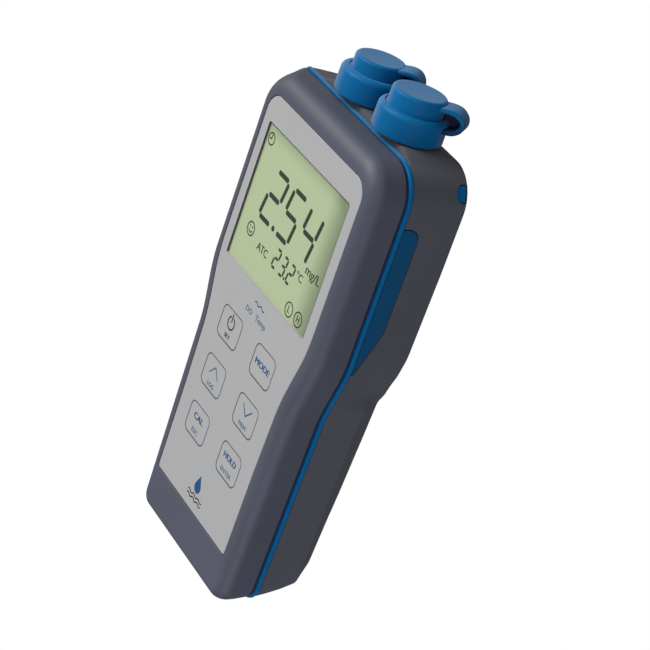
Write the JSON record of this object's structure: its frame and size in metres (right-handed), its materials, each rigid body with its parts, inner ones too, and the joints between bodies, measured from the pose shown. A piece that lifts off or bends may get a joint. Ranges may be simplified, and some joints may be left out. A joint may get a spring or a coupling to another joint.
{
  "type": "handheld water quality meter",
  "caption": "Handheld water quality meter: waisted two-tone case with a blue seal, green display, membrane keys, side grips and capped probe sockets.",
  "frame": {"origin": "middle of the bounding box's bottom: the meter lies on its flat back", "axes": "+X to the right seen from the front, +Y from the tail to the sockets, +Z out of the display face"},
  "size_m": [0.079, 0.1776, 0.036],
  "materials": {
    "front_plastic": "fine satin moulded texture",
    "back_plastic": "fine matte moulded texture",
    "blue_rubber": "matte moulded rubber",
    "label_grey": "fine-grained membrane film",
    "clear_window": "clear polished",
    "lcd_green": "pale green reflective display",
    "white_plastic": "satin",
    "board_green": "solder mask",
    "dark_plastic": "satin",
    "nickel": "nickel plated",
    "steel": "plain machined",
    "silicone": "matte grey silicone",
    "cell_wrap": "printed film wrap, plain"
  },
  "bodies": {
    "case": {"back_cover": "back_plastic", "backlight_plate": "white_plastic", "battery_cell_1": "cell_wrap", "battery_cell_2": "cell_wrap", "battery_cell_3": "cell_wrap", "battery_contact_plate": "steel", "battery_door": "back_plastic", "battery_spring_plate": "steel", "board_header_left": "white_plastic", "board_header_right": "white_plastic", "buzzer": "dark_plastic", "case_screw_1": "steel", "case_screw_2": "steel", "case_screw_3": "steel", "case_screw_4": "steel", "case_screw_5": "steel", "case_screw_6": "steel", "circuit_board": "board_green", "corner_foot_left": "blue_rubber", "corner_foot_right": "blue_rubber", "display_window": "clear_window", "door_screw_1": "steel", "door_screw_2": "steel", "door_screw_3": "steel", "door_screw_4": "steel", "door_seal": "silicone", "front_cover": "front_plastic", "grip_pad_left": "blue_rubber", "grip_pad_right": "blue_rubber", "keypad_label": "label_grey", "lcd_contact_strip_lower": "silicone", "lcd_contact_strip_upper": "silicone", "lcd_frame": "dark_plastic", "lcd_panel": "lcd_green", "parting_gasket": "blue_rubber", "probe_socket_left": "nickel", "probe_socket_right": "nickel", "processor_chip": "dark_plastic", "socket_contacts_left": "dark_plastic", "socket_contacts_right": "dark_plastic", "socket_leads_left": "dark_plastic", "socket_leads_right": "dark_plastic", "socket_nut_left": "steel", "socket_nut_right": "steel", "socket_seal_left": "silicone", "socket_seal_right": "silicone", "switch_sheet": "steel"},
    "key_power": {"key_power": "label_grey"},
    "key_mode": {"key_mode": "label_grey"},
    "key_up": {"key_up": "label_grey"},
    "key_down": {"key_down": "label_grey"},
    "key_cal": {"key_cal": "label_grey"},
    "key_hold": {"key_hold": "label_grey"},
    "socket_cap_left": {"socket_cap_left": "blue_rubber"},
    "socket_cap_right": {"socket_cap_right": "blue_rubber"}
  },
  "joints": [
    {"name": "key_power_press", "type": "slide", "parent": "case", "child": "key_power", "axis": [0, 0, -1], "range_m": [0, 0.0005], "stiffness_N_per_m": 1500},
    {"name": "key_mode_press", "type": "slide", "parent": "case", "child": "key_mode", "axis": [0, 0, -1], "range_m": [0, 0.0005], "stiffness_N_per_m": 1500},
    {"name": "key_up_press", "type": "slide", "parent": "case", "child": "key_up", "axis": [0, 0, -1], "range_m": [0, 0.0005], "stiffness_N_per_m": 1500},
    {"name": "key_down_press", "type": "slide", "parent": "case", "child": "key_down", "axis": [0, 0, -1], "range_m": [0, 0.0005], "stiffness_N_per_m": 1500},
    {"name": "key_cal_press", "type": "slide", "parent": "case", "child": "key_cal", "axis": [0, 0, -1], "range_m": [0, 0.0005], "stiffness_N_per_m": 1500},
    {"name": "key_hold_press", "type": "slide", "parent": "case", "child": "key_hold", "axis": [0, 0, -1], "range_m": [0, 0.0005], "stiffness_N_per_m": 1500},
    {"name": "socket_cap_left_pull", "type": "slide", "parent": "case", "child": "socket_cap_left", "axis": [0, 1, 0], "range_m": [0, 0.012]},
    {"name": "socket_cap_right_pull", "type": "slide", "parent": "case", "child": "socket_cap_right", "axis": [0, 1, 0], "range_m": [0, 0.012]}
  ]
}
